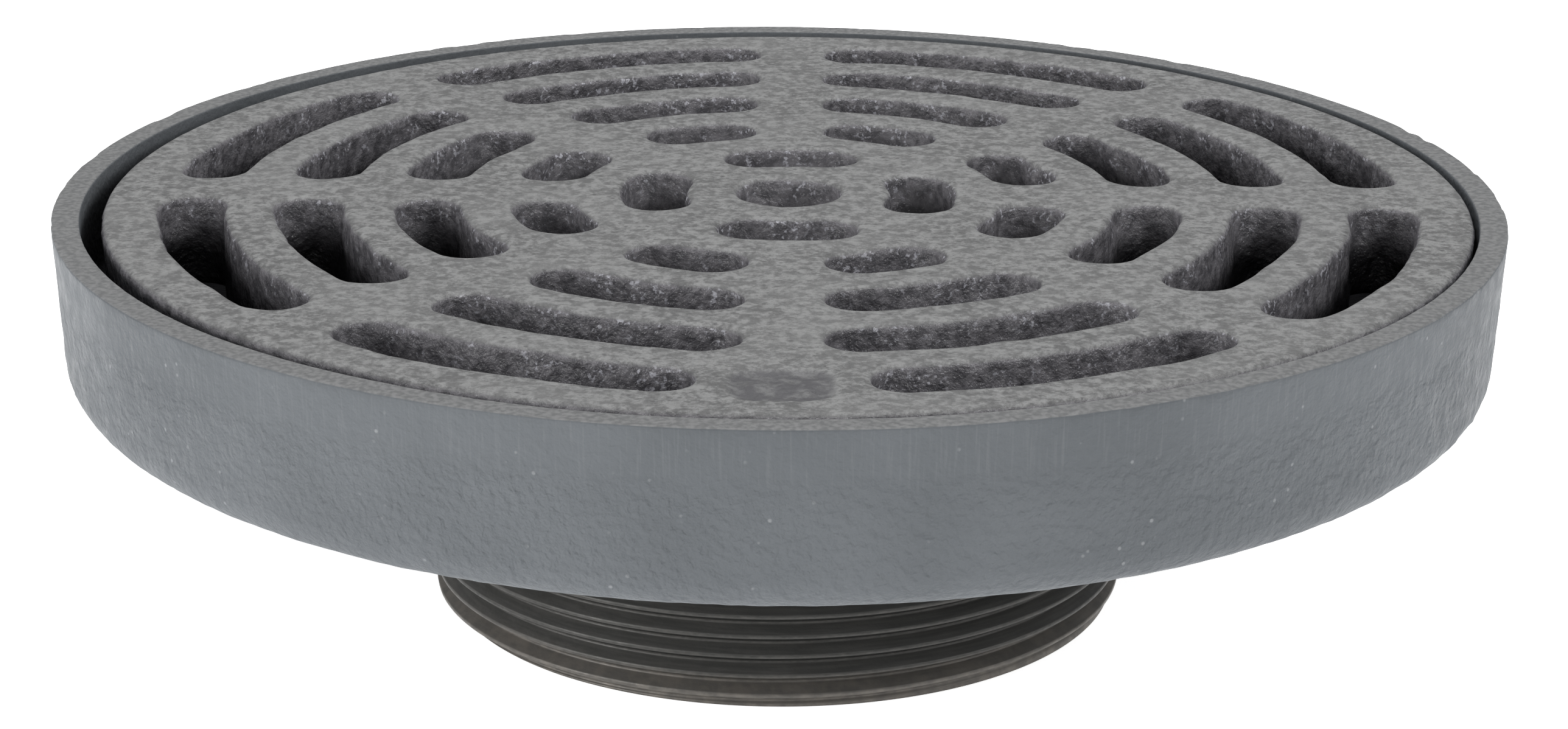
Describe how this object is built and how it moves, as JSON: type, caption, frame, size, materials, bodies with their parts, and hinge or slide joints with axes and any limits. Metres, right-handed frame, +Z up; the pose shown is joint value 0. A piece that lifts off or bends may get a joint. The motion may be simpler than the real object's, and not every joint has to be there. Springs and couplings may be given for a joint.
{
  "type": "floor drain grate",
  "caption": "Round floor drain strainer: shallow cast pan with a flush loose grate of concentric curved slots, on a short externally threaded outlet shank.",
  "frame": {"origin": "centre of the threaded shank's lower end face, on the drain's axis", "axes": "+Z up along the drain's axis, -Y towards the front rib that carries the blank panel"},
  "size_m": [0.2286, 0.2286, 0.0657],
  "materials": {
    "head_paint": "satin blue-grey paint over a sand-cast skin",
    "grate_paint": "satin neutral grey paint over a grainy sand-cast skin",
    "shank_metal": "bare machined iron, dark and slightly oiled"
  },
  "bodies": {
    "drain_head": {"strainer_head": "head_paint", "threaded_shank": "shank_metal"},
    "grate": {"grate": "grate_paint"}
  },
  "joints": [
    {"name": "grate_lift", "type": "slide", "parent": "drain_head", "child": "grate", "axis": [0, 0, 1], "range_m": [0, 0.05]}
  ]
}
